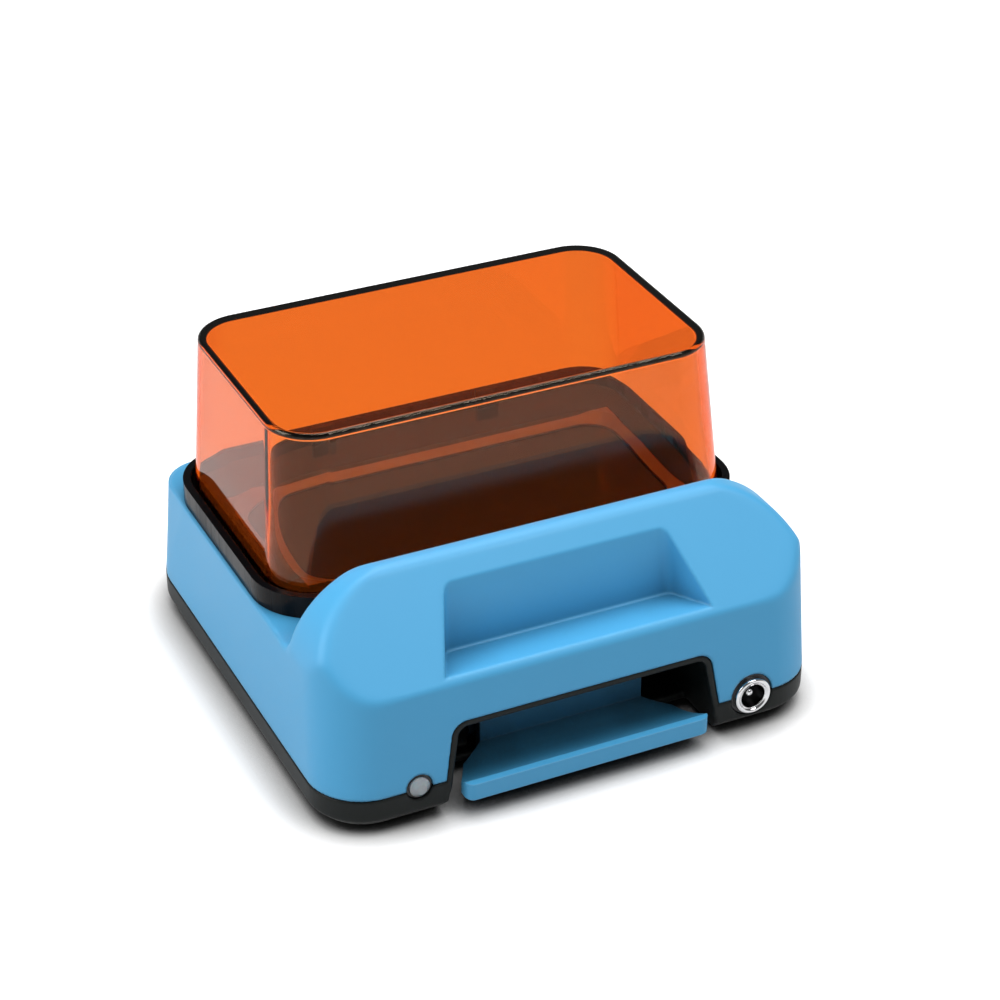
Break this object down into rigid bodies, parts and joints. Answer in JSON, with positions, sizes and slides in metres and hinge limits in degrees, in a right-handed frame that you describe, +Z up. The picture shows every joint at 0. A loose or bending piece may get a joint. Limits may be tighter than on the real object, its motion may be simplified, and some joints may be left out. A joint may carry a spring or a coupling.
{
  "type": "blue light transilluminator",
  "caption": "Tabletop blue light viewer: hooded housing on a black base, window under a lift-off amber cover, and a front light lever.",
  "frame": {"origin": "bottom centre of the whole object, on the plane of the feet", "axes": "+Z up, front with the lever towards -Y, +X to the right seen from the front"},
  "size_m": [0.13, 0.135, 0.0831],
  "materials": {
    "housing": "satin moulded plastic, light blue",
    "base": "textured black plastic",
    "frame": "glossy black plastic",
    "glass": "dark viewing glass",
    "gasket": "soft black seal",
    "cover": "clear amber acrylic",
    "lever": "satin moulded plastic, light blue",
    "steel": "plated steel",
    "black_parts": "black moulded plastic",
    "white_parts": "white moulded plastic",
    "diffuser": "opal sheet",
    "board": "green circuit board",
    "led": "moulded light bodies",
    "aluminium": "bare sheet",
    "chrome": "bright plated",
    "status_lens": "milky lens",
    "rubber": "black rubber",
    "cable": "flexible sheath"
  },
  "bodies": {
    "base": {"upper_housing": "housing", "lower_base": "base", "platform_frame": "frame", "filter_glass": "glass", "filter_gasket": "gasket", "lever_pin": "steel", "lever_spring": "steel", "lever_switch": "black_parts", "reflector_box": "white_parts", "diffuser_sheet": "diffuser", "led_board": "board", "blue_leds": "led", "heat_spreader": "aluminium", "power_board": "board", "board_components": "black_parts", "cable_connectors": "white_parts", "dc_jack_body": "black_parts", "dc_jack_ring": "chrome", "dc_jack_pin": "chrome", "jack_tabs": "steel", "status_light": "status_lens", "status_light_holder": "black_parts", "rubber_feet": "rubber", "housing_screws": "steel", "jack_cable": "cable", "status_cable": "cable", "led_cable": "cable", "switch_cable": "cable"},
    "cover": {"amber_cover": "cover"},
    "lever": {"light_lever": "lever"},
    "plunger": {"switch_plunger": "white_parts"}
  },
  "joints": [
    {"name": "cover_lift", "type": "slide", "parent": "base", "child": "cover", "axis": [0, 0, 1], "range_m": [0, 0.06]},
    {"name": "lever_press", "type": "hinge", "parent": "base", "child": "lever", "pos_m": [0, -0.0425, 0.0076], "axis": [1, 0, 0], "range_deg": [0, 3.5], "stiffness_Nm_per_rad": 0.5, "springref_deg": -8.59, "deforming": ["lever_spring"]},
    {"name": "plunger_travel", "type": "slide", "parent": "base", "child": "plunger", "axis": [0, 0, 1], "range_m": [0, 0.0006]}
  ],
  "couplings": [
    {"joint": "plunger_travel", "follows": "lever_press", "m_per_rad": 0.0096}
  ]
}
